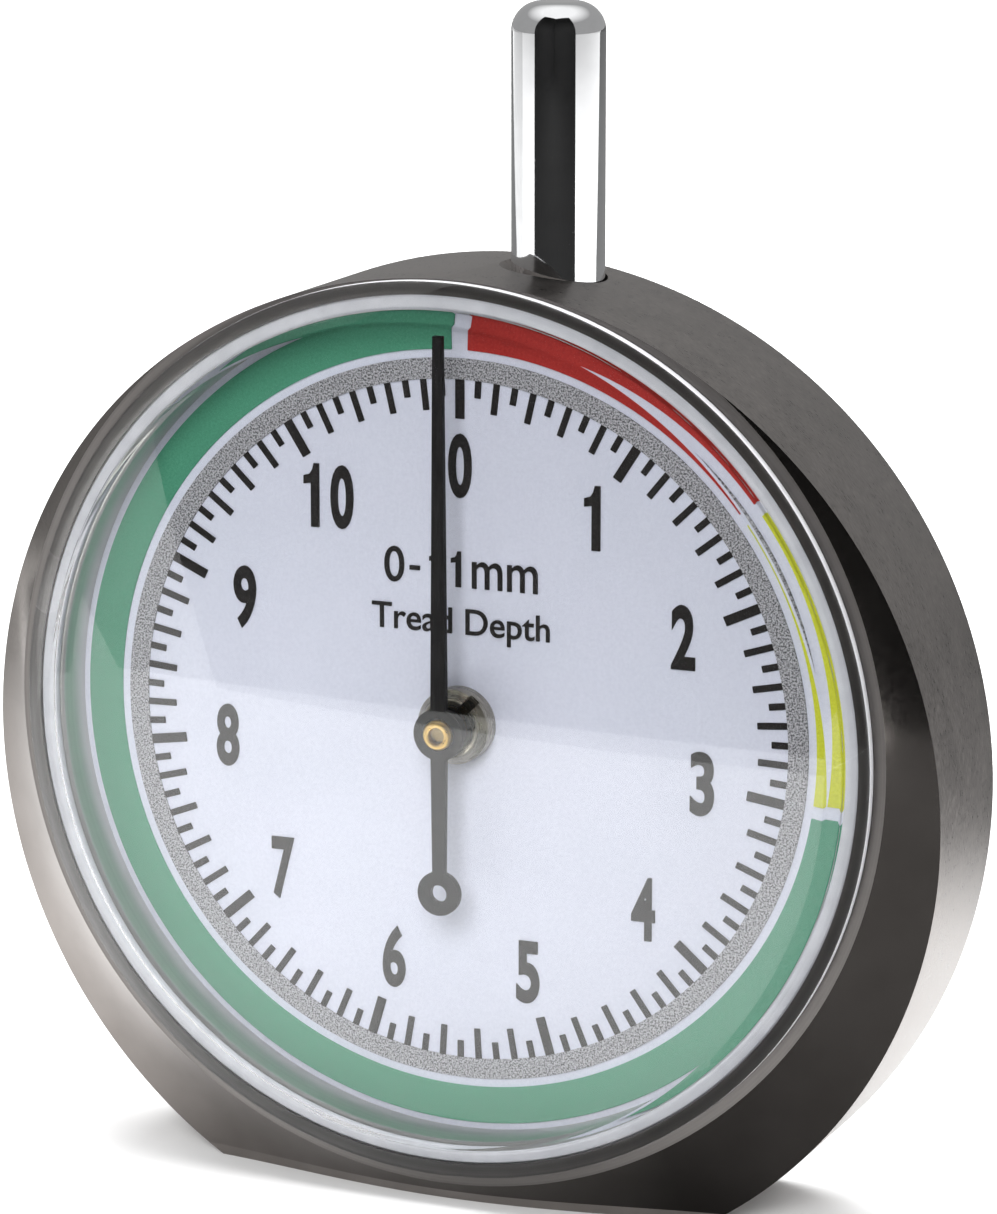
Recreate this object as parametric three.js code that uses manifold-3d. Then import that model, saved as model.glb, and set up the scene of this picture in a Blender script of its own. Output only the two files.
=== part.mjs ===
// Tyre tread depth gauge: a round metal case with a flat foot, a plunger on top, a probe pin
// that comes out of the foot, and a rack and pinion that turn the pointer once in 11 mm.
// Millimetres. X to the right of the dial, Y to the back, Z up.
// The origin is on the flat foot, under the dial's centre and in the plane of the spindle.
import * as THREE from "three";
import Module from "manifold-3d";

const wasm = await Module();
wasm.setup();

// ---- driving dimensions ----
const TRAVEL = 11; // stroke of the plunger, which is also one turn of the pointer
const DIVISIONS = 11; // numbered divisions on the dial
const TICK_R = 15.56; // outer radius of the scale's ticks, which sets the size of the dial
const BODY_EXTRA = 2.55; // radius of the case over that of the crystal
const FOOT_WALL = 1.55; // metal between the crystal and the flat foot
const BACK_WALL = 0.8; // thickness of the case's back
const MARGIN = 3.04; // from the ticks to the edge of the visible dial
const SKIRT_T = 0.5; // wall of the crystal's skirt
const GASKET_T = 0.5; // room for the gasket round the skirt
const FLANGE = 0.85; // how far the crystal's flange laps over the rim
const LEDGE = 1.8; // width of the ledge that carries the movement plate
const DIAL_SINK = 2.85; // depth of the dial under the rim that the flange rests on
const CRYSTAL_RISE = 1.5; // height of the crystal's face over that rim
const CRYSTAL_T = 1.4; // thickness of the crystal
const SHEET = 0.4; // thickness of the dial sheet
const PLATE_T = 0.5; // thickness of the movement plate behind the dial
const BACK_LEDGE = 3.8; // ring of back wall left round the window for the snap cover
const MODULE = 0.25; // gear module
const TEETH = Math.round(TRAVEL / (Math.PI * MODULE)); // teeth on the pinion: one turn in TRAVEL
const PITCH_R = (MODULE * TEETH) / 2;
const PLUNGER_R = 2.1;
const BUSH_WALL = 0.65; // wall of the plunger's bush
const PLUNGER_REST = 0.92; // what stays out of the case at full stroke
const SPINDLE_R = 1.8;
const SPINDLE_FOOT_R = 1.5; // the spindle under its rack
const PROBE_R = 1;
const WIRE_R = 0.15; // return spring
const COIL_R = 0.8;
const COILS = 15;
const FIT = 0.05; // clearance between pressed pieces
const RUN = 0.1; // clearance between moving pieces
const PRINT = 0.08; // thickness of the printed layers

// ---- places that follow from them ----
const VIEW_R = TICK_R + MARGIN; // visible dial
const SKIRT_R = VIEW_R + SKIRT_T;
const BORE_R = SKIRT_R + GASKET_T; // room for the dial and the crystal's skirt
const RIM_R = BORE_R + FLANGE; // crystal's flange
const CAVITY_R = BORE_R - LEDGE; // room for the movement
const WINDOW_R = CAVITY_R - BACK_LEDGE; // opening in the back wall
const BODY_R = RIM_R + BODY_EXTRA;
const DIAL_Z = RIM_R + FOOT_WALL; // height of the dial's centre over the foot
const BODY_Z = DIAL_Z - BODY_EXTRA + 0.05; // puts the flange flush with the case's top
const UPPER_BUSH_R = PLUNGER_R + BUSH_WALL + FIT; // its seat in the case
const DIAL_Y = -(UPPER_BUSH_R + FIT + SHEET); // the dial lies just in front of the bush
const RIM_Y = DIAL_Y - DIAL_SINK;
const CRYSTAL_Y = RIM_Y - CRYSTAL_RISE;
const FLOOR_Y = PLUNGER_R + 0.4; // inner side of the case's back wall
const BODY_BACK = FLOOR_Y + BACK_WALL;
const PLATE_FRONT = DIAL_Y + SHEET;
const PLATE_BACK = PLATE_FRONT + PLATE_T;
const SPINDLE_X = PITCH_R + RUN / 2 + 1.36; // the rack's pitch line lies 1.36 mm from the axis
const TOP_Z = BODY_Z + Math.sqrt(BODY_R ** 2 - SPINDLE_X ** 2); // case over the spindle
const PLUNGER_TOP = TOP_Z + TRAVEL + PLUNGER_REST; // at rest
const ROOF_Z = DIAL_Z + Math.sqrt(CAVITY_R ** 2 - SPINDLE_X ** 2); // cavity over the spindle
const SILL_Z = 2 * DIAL_Z - ROOF_Z; // cavity under the spindle
const PLUNGER_END = TOP_Z - 4.8; // lower end of the plunger, where the spindle starts
const SPINDLE_END = SILL_Z + TRAVEL + 1; // lower end of the spindle
const ARM_Z = SPINDLE_END + 1.5; // underside of the spring arm
const ARM_H = 1.6;
const ARM_X = SPINDLE_X + 5.6; // tip of the spring arm
const SPRING_X = SPINDLE_X + SPINDLE_R + COIL_R + WIRE_R + 0.6;
const POST_Z = ROOF_Z - 3.4; // fixed end of the return spring
const PIN_Z = ARM_Z + ARM_H / 2; // moving end of the return spring
const POINTER_Y = DIAL_Y - 2.35; // middle of the pointer's blade

// ---- helpers ----
const solid = (g) => {
  const bare = new THREE.BufferGeometry().setAttribute("position", g.getAttribute("position"));
  if (g.index) bare.setIndex(g.index);
  const flat = bare.index ? bare.toNonIndexed() : bare;
  const p = flat.attributes.position;
  const seen = new Map();
  const verts = [];
  const tris = [];
  for (let i = 0; i < p.count; i += 3) {
    const ids = [0, 1, 2].map((k) => {
      const v = [p.getX(i + k), p.getY(i + k), p.getZ(i + k)].map((n) => Math.round(n * 1e4) / 1e4 + 0);
      const key = v.join();
      if (!seen.has(key)) {
        seen.set(key, verts.length / 3);
        verts.push(...v);
      }
      return seen.get(key);
    });
    if (new Set(ids).size === 3) tris.push(...ids);
  }
  const mesh = new wasm.Mesh({
    numProp: 3,
    vertProperties: new Float32Array(verts),
    triVerts: new Uint32Array(tris),
  });
  return new wasm.Manifold(mesh);
};

const geometry = (s) => {
  const m = s.getMesh();
  const xyz = new Float32Array(m.numVert * 3);
  for (let i = 0; i < m.numVert; i++) {
    xyz.set(m.vertProperties.subarray(i * m.numProp, i * m.numProp + 3), i * 3);
  }
  return new THREE.BufferGeometry()
    .setAttribute("position", new THREE.BufferAttribute(xyz, 3))
    .setIndex(new THREE.BufferAttribute(new Uint32Array(m.triVerts), 1));
};

// A turned solid about the dial's axis (Y): the profile is [radius, y] and goes round a closed
// loop with the material on its left.
const turned = (profile, segments = 64, x = 0, z = DIAL_Z) =>
  solid(
    new THREE.LatheGeometry([...profile, profile[0]].map(([r, y]) => new THREE.Vector2(r, y)), segments)
      .translate(x, 0, z),
  );

// The same about an upright axis: the profile is [radius, z].
const upright = (profile, segments = 24, x = SPINDLE_X, y = 0) =>
  solid(
    new THREE.LatheGeometry([...profile, profile[0]].map(([r, z]) => new THREE.Vector2(r, z)), segments)
      .rotateX(Math.PI / 2)
      .translate(x, y, 0),
  );

const rod = (r, a, b) => [[0, a], [r, a], [r, b], [0, b]];
const tube = (r0, r1, a, b) => [[r0, a], [r1, a], [r1, b], [r0, b]];

// An upright outline in X and Z, thick in Y from y0 to y1.
const slab = (outline, y0, y1, holes = []) => {
  const points = (loop) => loop.map(([x, z]) => new THREE.Vector2(x, z));
  const rim = points(outline);
  if (THREE.ShapeUtils.isClockWise(rim)) rim.reverse();
  const shape = new THREE.Shape(rim);
  shape.holes = holes.map((h) => new THREE.Path(points(h)));
  return solid(
    new THREE.ExtrudeGeometry(shape, { depth: y1 - y0, bevelEnabled: false, curveSegments: 24 })
      .rotateX(Math.PI / 2)
      .translate(0, y1, 0),
  );
};

const box = (x0, x1, y0, y1, z0, z1) =>
  solid(
    new THREE.BoxGeometry(x1 - x0, y1 - y0, z1 - z0)
      .translate((x0 + x1) / 2, (y0 + y1) / 2, (z0 + z1) / 2),
  );

// A point on the dial: the radius, and the angle clockwise from 12 o'clock, in turns.
const onDial = (r, turn) => [
  r * Math.sin(2 * Math.PI * turn),
  DIAL_Z + r * Math.cos(2 * Math.PI * turn),
];

const arc = (r, from, to, steps) =>
  Array.from({ length: steps + 1 }, (_, i) => onDial(r, from + ((to - from) * i) / steps));

const root = new THREE.Group();
root.name = "tyre_tread_depth_gauge";
const add = (name, made, colour, metalness = 0.9, roughness = 0.35, extra = {}) => {
  const material = new THREE.MeshStandardMaterial({ color: colour, metalness, roughness, ...extra });
  const mesh = new THREE.Mesh(geometry(made), material);
  mesh.name = name;
  root.add(mesh);
};

const DARK = 0x2b2827;
const STEEL = 0xb4b6b8;
const BRASS = 0xc9a44c;
const BLACK = 0x151515;

// ---- case ----
// The front is swept back in a cove about the dial's axis; the side is a plain cylinder.
const front = [
  [RIM_R + 6.05, BODY_BACK + 1],
  [RIM_R + 6.05, RIM_Y + 2.5],
  [RIM_R + 4.55, RIM_Y + 2.34],
  [RIM_R + 3.55, RIM_Y + 1.96],
  [RIM_R + 2.55, RIM_Y + 1.43],
  [RIM_R + 1.55, RIM_Y + 0.75],
  [RIM_R + 0.55, RIM_Y],
  [0, RIM_Y],
  [0, BODY_BACK + 1],
];
const drum = turned(
  [[0, CRYSTAL_Y], [BODY_R, CRYSTAL_Y], [BODY_R, BODY_BACK - 0.5], [BODY_R - 0.5, BODY_BACK], [0, BODY_BACK]],
  96, 0, BODY_Z,
);
const room = turned([
  [0, RIM_Y - 1],
  [BORE_R, RIM_Y - 1],
  [BORE_R, PLATE_BACK],
  [CAVITY_R, PLATE_BACK],
  [CAVITY_R, FLOOR_Y],
  [WINDOW_R, FLOOR_Y],
  [WINDOW_R, FLOOR_Y + 0.35],
  [WINDOW_R + 1.5, FLOOR_Y + 0.35],
  [WINDOW_R + 1.5, BODY_BACK + 1],
  [0, BODY_BACK + 1],
]);
const UPPER_BUSH_TOP = TOP_Z - 0.9;
const LOWER_BUSH_R = PROBE_R + 1;
const bores = upright([
  [0, -1],
  [PROBE_R + 0.35, -1],
  [PROBE_R + 0.35, 0.5],
  [LOWER_BUSH_R, 0.5],
  [LOWER_BUSH_R, SILL_Z + 2],
  [UPPER_BUSH_R, SILL_Z + 2],
  [UPPER_BUSH_R, UPPER_BUSH_TOP],
  [PLUNGER_R + RUN, UPPER_BUSH_TOP],
  [PLUNGER_R + RUN, TOP_Z + 3],
  [0, TOP_Z + 3],
]);
const screwTurns = [0.06, 0.39, 0.73];
const SCREW_R = (CAVITY_R + BORE_R) / 2;
const screwHoles = screwTurns.map((t) => {
  const [x, z] = onDial(SCREW_R, t);
  return turned(rod(0.5, PLATE_BACK - 0.3, PLATE_BACK + 2.4), 16, x, z);
});
const shell = drum
  .intersect(turned(front.reverse()))
  .subtract(box(-2 * BODY_R, 2 * BODY_R, 2 * CRYSTAL_Y, 2 * BODY_R, -BODY_R, 0));
add(
  "case_body",
  screwHoles.reduce((s, h) => s.subtract(h), shell.subtract(room).subtract(bores)),
  DARK, 0.95, 0.3,
);

const cover = turned([
  [0, FLOOR_Y + 0.05],
  [WINDOW_R - FIT, FLOOR_Y + 0.05],
  [WINDOW_R - FIT, FLOOR_Y + 0.35],
  [WINDOW_R + 1.5 - FIT, FLOOR_Y + 0.35],
  [WINDOW_R + 1.5 - FIT, BODY_BACK - 0.1],
  [WINDOW_R + 1.1, BODY_BACK],
  [0, BODY_BACK],
]);
const notch = box(-1.5, 1.5, BODY_BACK - 0.3, BODY_BACK + 1, DIAL_Z - WINDOW_R - 3, DIAL_Z - WINDOW_R - 0.9);
add("back_cover", cover.subtract(notch), 0x3a3735, 0.9, 0.35);

// ---- crystal, gasket and the ring round the dial ----
const inner = CRYSTAL_Y + CRYSTAL_T;
add(
  "crystal",
  turned([
    [0, inner],
    [VIEW_R + FIT, inner],
    [VIEW_R + FIT, RIM_Y + 0.5],
    [SKIRT_R, RIM_Y + 0.5],
    [SKIRT_R, RIM_Y],
    [RIM_R, RIM_Y],
    [RIM_R, RIM_Y - 0.35],
    [VIEW_R - 0.25, CRYSTAL_Y + 0.03],
    [VIEW_R - 0.6, CRYSTAL_Y],
    [0, CRYSTAL_Y],
  ].reverse()),
  0xeef4f6, 0, 0.05, { transparent: true, opacity: 0.25 },
);
add("crystal_gasket", turned(tube(SKIRT_R + FIT, BORE_R - FIT, RIM_Y + 0.1, RIM_Y + 0.5), 48), 0xd8d8d4, 0, 0.6);
add(
  "rehaut_ring",
  turned([
    [VIEW_R, RIM_Y + 0.55],
    [BORE_R - FIT, RIM_Y + 0.55],
    [BORE_R - FIT, DIAL_Y],
    [VIEW_R, DIAL_Y],
  ]),
  0xc9cccb, 0.8, 0.3,
);

// ---- dial ----
const BUSH_R = 1.5;
add("dial_plate", turned(tube(BUSH_R + FIT, BORE_R - 0.3, DIAL_Y, PLATE_FRONT), 48), 0xe9eaf2, 0, 0.4);

// The scale is one printed layer: a band with the ticks standing inwards from it. Whole numbers
// have the longest ticks, then the even tenths, then the odd ones.
const tickDepth = (i) => (i % 10 === 0 ? 1.76 : i % 2 === 0 ? 1.4 : 0.78);
const tickHalf = (i) => (i % 10 === 0 ? 0.22 : 0.15) / (2 * Math.PI * TICK_R); // in turns
const ticks = Array.from({ length: DIVISIONS * 10 }, (_, i) => {
  const t = i / (DIVISIONS * 10);
  const w = tickHalf(i);
  const r = TICK_R - tickDepth(i);
  return [onDial(TICK_R, t - w), onDial(r, t - w), onDial(r, t + w), onDial(TICK_R, t + w)];
}).flat();
add(
  "scale_print",
  slab(arc(TICK_R + 0.93, 0, 1 - 1 / 55, 54), DIAL_Y - PRINT, DIAL_Y, [ticks]),
  0x2c2c30, 0, 0.6,
);
const ZONES = [
  ["zone_red", 0.04, 1.57, 0xb0201e],
  ["zone_yellow", 1.63, 2.97, 0xc4c934],
  ["zone_green", 3.03, 10.96, 0x4f9c78],
];
for (const [name, from, to, colour] of ZONES) {
  const [a, b] = [from / DIVISIONS, to / DIVISIONS];
  const steps = Math.ceil((b - a) * 60);
  const outline = [...arc(TICK_R + 1.32, a, b, steps), ...arc(TICK_R + 2.9, b, a, steps)];
  add(name, slab(outline, DIAL_Y - PRINT, DIAL_Y), colour, 0, 0.5);
}

// ---- movement frame ----
const PILLARS = [["upper", 5], ["lower", -5]];
const PILLAR_X = -8;
const POST_R = 0.5;
const COCK_Y = FLOOR_Y - 1.35;
const COCK_T = 0.7;
const bushSide = UPPER_BUSH_R + RUN;
const plateHoles = [
  turned(rod(BUSH_R, PLATE_FRONT - 1, PLATE_BACK + 1), 32),
  box(SPINDLE_X - bushSide, SPINDLE_X + bushSide, DIAL_Y, 0, ROOF_Z - 0.8, TOP_Z),
  ...screwTurns.flatMap((t) => {
    const [x, z] = onDial(SCREW_R, t);
    return [
      turned(rod(0.5, PLATE_FRONT - 1, PLATE_BACK + 1), 16, x, z),
      turned(rod(0.8, PLATE_FRONT - 1, PLATE_FRONT + 0.3), 16, x, z),
    ];
  }),
];
add(
  "movement_plate",
  plateHoles.reduce(
    (s, h) => s.subtract(h),
    turned(rod(BORE_R - 0.3, PLATE_FRONT, PLATE_BACK), 48),
  ),
  BRASS, 0.9, 0.4,
);
screwTurns.forEach((t, i) => {
  const [x, z] = onDial(SCREW_R, t);
  const profile = [
    [0, PLATE_FRONT + FIT],
    [0.75, PLATE_FRONT + FIT],
    [0.75, PLATE_FRONT + 0.3],
    [0.45, PLATE_FRONT + 0.3],
    [0.45, PLATE_BACK + 2.2],
    [0, PLATE_BACK + 2.2],
  ];
  const slot = box(x - 1, x + 1, PLATE_FRONT - 1, PLATE_FRONT + 0.15, z - 0.1, z + 0.1);
  add("plate_screw_" + (i + 1), turned(profile, 16, x, z).subtract(slot), STEEL);
});
for (const [name, dz] of PILLARS) {
  add(
    "pillar_" + name,
    turned([[0, PLATE_BACK], [1.2, PLATE_BACK], [1.2, COCK_Y], [0.5, COCK_Y], [0.5, COCK_Y - 1.6], [0, COCK_Y - 1.6]],
      24, PILLAR_X, DIAL_Z + dz),
    BRASS, 0.9, 0.35,
  );
}
const cockOutline = [
  [0.9, DIAL_Z - 1.6],
  [0.9, DIAL_Z + 1.6],
  [-5.4, DIAL_Z + 7],
  [PILLAR_X - 1.6, DIAL_Z + 7],
  [PILLAR_X - 2.2, DIAL_Z + 6.2],
  [PILLAR_X - 2.2, DIAL_Z - 6.2],
  [PILLAR_X - 1.6, DIAL_Z - 7],
  [-5.4, DIAL_Z - 7],
].reverse();
const cockHoles = [
  turned(rod(0.8, COCK_Y - 1, COCK_Y + 2), 24),
  ...PILLARS.map(([, dz]) => turned(rod(0.5, COCK_Y - 1, COCK_Y + 2), 16, PILLAR_X, DIAL_Z + dz)),
];
add(
  "arbor_cock",
  cockHoles.reduce((s, h) => s.subtract(h), slab(cockOutline, COCK_Y, COCK_Y + COCK_T)),
  BRASS, 0.9, 0.35,
);
for (const [name, dz] of PILLARS) {
  const head = COCK_Y + COCK_T;
  const z = DIAL_Z + dz;
  const profile = [[0, COCK_Y - 1.5], [0.45, COCK_Y - 1.5], [0.45, head], [1, head], [1, head + 0.4], [0, head + 0.4]];
  const slot = box(PILLAR_X - 2, PILLAR_X + 2, head + 0.22, head + 1, z - 0.13, z + 0.13);
  add("cock_screw_" + name, turned(profile, 16, PILLAR_X, z).subtract(slot), STEEL);
}

// ---- arbor, pinion, pointer ----
const ARBOR_R = 0.6;
const PIVOT_R = 0.4;
add("rear_bush", turned(tube(PIVOT_R + FIT, 0.8 - FIT, COCK_Y, COCK_Y + COCK_T), 24), BRASS);
add(
  "front_bush",
  turned([
    [ARBOR_R + FIT, DIAL_Y - 1.3],
    [1.45, DIAL_Y - 1.3],
    [1.7, DIAL_Y - 1.05],
    [1.7, DIAL_Y],
    [BUSH_R - FIT, DIAL_Y],
    [BUSH_R - FIT, PLATE_BACK + 0.1],
    [ARBOR_R + FIT, PLATE_BACK + 0.1],
  ], 32),
  STEEL, 0.95, 0.25,
);
add(
  "arbor",
  turned([
    [0, POINTER_Y - 0.12],
    [PIVOT_R, POINTER_Y - 0.12],
    [PIVOT_R, POINTER_Y + 1],
    [ARBOR_R, POINTER_Y + 1],
    [ARBOR_R, COCK_Y - RUN],
    [PIVOT_R, COCK_Y - RUN],
    [PIVOT_R, COCK_Y + COCK_T],
    [0, COCK_Y + COCK_T],
  ], 20),
  STEEL,
);

// Straight-flanked teeth, thinned by the running clearance. A gap faces the rack at rest.
const ADDENDUM = 0.85 * MODULE;
const DEDENDUM = 1.2 * MODULE;
const half = (Math.PI * MODULE) / 4 - 0.03; // half a tooth's thickness on the pitch line
const slope = Math.tan((20 * Math.PI) / 180);
const toothPoints = [
  [PITCH_R - DEDENDUM, half + slope * DEDENDUM],
  [PITCH_R + ADDENDUM, half - slope * ADDENDUM],
];
const pinionOutline = Array.from({ length: TEETH }, (_, i) => {
  const mid = ((i + 0.5) / TEETH) * 2 * Math.PI;
  const [[r0, w0], [r1, w1]] = toothPoints;
  return [[r0, -w0 * 0.82], [r1, -w1], [r1, w1], [r0, w0 * 0.82]].map(([r, w]) => {
    const a = mid + w / r;
    return [r * Math.cos(a), DIAL_Z + r * Math.sin(a)];
  });
}).flat();
const GEAR_T = 1.4;
add(
  "pinion",
  slab(pinionOutline, -GEAR_T / 2, GEAR_T / 2).subtract(turned(rod(ARBOR_R + FIT, -GEAR_T, GEAR_T), 20)),
  BRASS, 0.9, 0.3,
);

// Pointer: a tapered blade, a round hub and a tail that ends in an eye.
const COLLET_R = 0.69; // brass collet in the hub
const HUB_R = COLLET_R + 0.49;
const EYE_R = 1.01;
const TAIL = 7.31;
const TIP = TICK_R + 2.33;
const blade = slab(
  [[-0.37, DIAL_Z], [-0.22, DIAL_Z + TIP], [0.22, DIAL_Z + TIP], [0.37, DIAL_Z],
    [0.29, DIAL_Z - TAIL + 0.6], [-0.29, DIAL_Z - TAIL + 0.6]].reverse(),
  POINTER_Y - 0.15, POINTER_Y + 0.15,
);
const pointer = blade
  .add(turned(rod(HUB_R, POINTER_Y - 0.15, POINTER_Y + 0.15), 32))
  .add(turned(rod(COLLET_R + 0.26, POINTER_Y, POINTER_Y + 0.85), 32))
  .add(turned(rod(EYE_R, POINTER_Y - 0.15, POINTER_Y + 0.15), 32, 0, DIAL_Z - TAIL))
  .subtract(turned(rod(EYE_R - 0.61, POINTER_Y - 1, DIAL_Y), 24, 0, DIAL_Z - TAIL))
  .subtract(turned(rod(COLLET_R + FIT, POINTER_Y - 1, DIAL_Y), 24));
add("pointer", pointer, BLACK, 0.2, 0.45);
add(
  "pointer_collet",
  turned([
    [PIVOT_R + FIT / 2, POINTER_Y - 0.12],
    [PIVOT_R + FIT / 2, POINTER_Y + 0.85],
    [COLLET_R, POINTER_Y + 0.85],
    [COLLET_R, POINTER_Y - 0.25],
    [COLLET_R - 0.09, POINTER_Y - 0.35],
    [COLLET_R - 0.35, POINTER_Y - 0.35],
    [COLLET_R - 0.35, POINTER_Y - 0.16],
  ].reverse(), 24),
  BRASS, 0.9, 0.3,
);

// ---- plunger, spindle with its rack, probe ----
const dome = Array.from({ length: 7 }, (_, i) => {
  const a = (i / 6) * (Math.PI / 2);
  return [PLUNGER_R - 1.3 + 1.3 * Math.cos(a), PLUNGER_TOP - 1.3 + 1.3 * Math.sin(a)];
});
const SPIGOT_R = 1;
const SPIGOT = 3.5;
add(
  "plunger",
  upright([
    [0, PLUNGER_END + SPIGOT + 0.2],
    [SPIGOT_R + FIT, PLUNGER_END + SPIGOT + 0.2],
    [SPIGOT_R + FIT, PLUNGER_END],
    [PLUNGER_R - 0.25, PLUNGER_END],
    [PLUNGER_R, PLUNGER_END + 0.25],
    ...dome,
    [0, PLUNGER_TOP],
  ]),
  0xe6e8ea, 1, 0.06,
);

const RACK_FROM = DIAL_Z - 1.6;
const RACK_TO = DIAL_Z + TRAVEL + 1.6;
const rackX = PITCH_R + RUN / 2; // pitch line
const pitch = Math.PI * MODULE;
const gaps = [];
for (let z = DIAL_Z - 2.5 * pitch; z < RACK_TO; z += pitch) {
  if (z < RACK_FROM) continue;
  const wide = pitch / 2 + 0.06 + 2 * slope * ADDENDUM;
  const narrow = pitch / 2 + 0.06 - 2 * slope * DEDENDUM;
  gaps.push([
    [rackX - ADDENDUM - 0.01, z - wide / 2],
    [rackX + DEDENDUM, z - narrow / 2],
    [rackX + DEDENDUM, z + narrow / 2],
    [rackX - ADDENDUM - 0.01, z + wide / 2],
  ]);
}
const comb = [
  [rackX - 2, RACK_FROM - 0.5],
  [rackX - ADDENDUM, RACK_FROM - 0.5],
  ...gaps.flat(),
  [rackX - ADDENDUM, RACK_TO + 0.2],
  [rackX - 2, RACK_TO + 0.2],
];
const spindle = upright([
  [0, SPINDLE_END + 2.9],
  [PROBE_R + FIT, SPINDLE_END + 2.9],
  [PROBE_R + FIT, SPINDLE_END],
  [SPINDLE_FOOT_R, SPINDLE_END],
  [SPINDLE_FOOT_R, RACK_FROM - 0.5],
  [SPINDLE_R, RACK_FROM - 0.2],
  [SPINDLE_R, PLUNGER_END],
  [SPIGOT_R, PLUNGER_END],
  [SPIGOT_R, PLUNGER_END + SPIGOT],
  [0, PLUNGER_END + SPIGOT],
]);
add("spindle_rack", spindle.subtract(slab(comb, -3, 3)), STEEL, 0.95, 0.3);

add(
  "probe_pin",
  upright([
    [0, 0.1],
    [0.45, 0.1],
    [0.8, 0.25],
    [PROBE_R, 0.6],
    [PROBE_R, SPINDLE_END + 2.7],
    [0, SPINDLE_END + 2.7],
  ]),
  STEEL, 0.95, 0.25,
);
add(
  "upper_bush",
  upright(tube(PLUNGER_R + RUN, PLUNGER_R + BUSH_WALL, ROOF_Z - 0.4, UPPER_BUSH_TOP - FIT)),
  BRASS, 0.9, 0.3,
);
add(
  "lower_bush",
  upright(tube(PROBE_R + RUN, LOWER_BUSH_R - FIT, 0.5 + FIT, SILL_Z + 0.5)),
  BRASS, 0.9, 0.3,
);

// ---- spring arm, return spring, guide ----
const ARM_HALF = 0.4;
const PIN_R = 0.4;
const collar = upright(tube(SPINDLE_FOOT_R + FIT, SPINDLE_FOOT_R + 0.7, ARM_Z, ARM_Z + ARM_H));
const arm = box(SPINDLE_X + SPINDLE_FOOT_R + 0.3, ARM_X, -ARM_HALF, ARM_HALF, ARM_Z, ARM_Z + ARM_H);
const armPin = turned(rod(PIN_R, -1.3, 0), 16, SPRING_X, PIN_Z);
add("spring_arm", collar.add(arm).add(armPin), BRASS, 0.9, 0.35);

const RAIL_X = SPRING_X + COIL_R + WIRE_R + 0.25;
const RAIL_TOP = ARM_Z + ARM_H + 0.1;
const RAIL_LOW = DIAL_Z - Math.sqrt((CAVITY_R - 0.2) ** 2 - (ARM_X + 0.8) ** 2);
const rail = box(RAIL_X, ARM_X + 0.7, PLATE_BACK, 1.2, RAIL_LOW, RAIL_TOP + 0.7)
  .subtract(box(RAIL_X - 1, ARM_X + 0.15, -ARM_HALF - RUN, ARM_HALF + RUN, 0, RAIL_TOP));
add("guide_rail", rail, BRASS, 0.9, 0.4);

add(
  "spring_post",
  turned([
    [0, PLATE_BACK],
    [POST_R + 0.3, PLATE_BACK],
    [POST_R + 0.3, PLATE_BACK + 0.6],
    [POST_R, PLATE_BACK + 0.6],
    [POST_R, 1.5],
    [0, 1.5],
  ], 16, SPRING_X, POST_Z),
  BRASS, 0.9, 0.35,
);

// The spring's wire: an eye round the post, the coil, and an eye round the arm's pin.
const EYE = POST_R + WIRE_R + 0.12;
const coilTop = POST_Z - EYE - 0.7;
const coilLow = PIN_Z + EYE + 0.7;
const wire = [];
const eyeSteps = 8;
for (let i = 0; i <= eyeSteps; i++) {
  const a = (-40 + (i / eyeSteps) * 310) * (Math.PI / 180);
  wire.push([SPRING_X + EYE * Math.cos(a), 0.0, POST_Z + EYE * Math.sin(a)]);
}
const coilSteps = COILS * 8;
for (let i = 0; i <= coilSteps; i++) {
  const a = (i / 8) * 2 * Math.PI - Math.PI / 2;
  const z = coilTop + ((coilLow - coilTop) * i) / coilSteps;
  wire.push([SPRING_X + COIL_R * Math.cos(a), COIL_R * Math.sin(a), z]);
}
for (let i = 0; i <= eyeSteps; i++) {
  const a = (90 + (i / eyeSteps) * 310) * (Math.PI / 180);
  wire.push([SPRING_X + EYE * Math.cos(a), -0.85, PIN_Z + EYE * Math.sin(a)]);
}
const path = new THREE.CatmullRomCurve3(wire.map((v) => new THREE.Vector3(...v)));
const ring = new THREE.Shape(
  Array.from({ length: 4 }, (_, i) => {
    const a = (i / 4) * 2 * Math.PI;
    return new THREE.Vector2(WIRE_R * Math.cos(a), WIRE_R * Math.sin(a));
  }),
);
add(
  "return_spring",
  solid(new THREE.ExtrudeGeometry(ring, { steps: wire.length - 1, extrudePath: path, bevelEnabled: false })),
  STEEL,
);

export default root;
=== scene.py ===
"""Tyre tread depth gauge: the visual model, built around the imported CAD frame.

A round black nickel case with a flat foot, a bevelled clear crystal over a printed dial, a pointer on a
nickel bush, a chromed plunger on top and a probe pin in the foot. All sizes are in metres.
"""
import math

import bmesh
import bpy
from mathutils import Matrix, Vector


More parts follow.
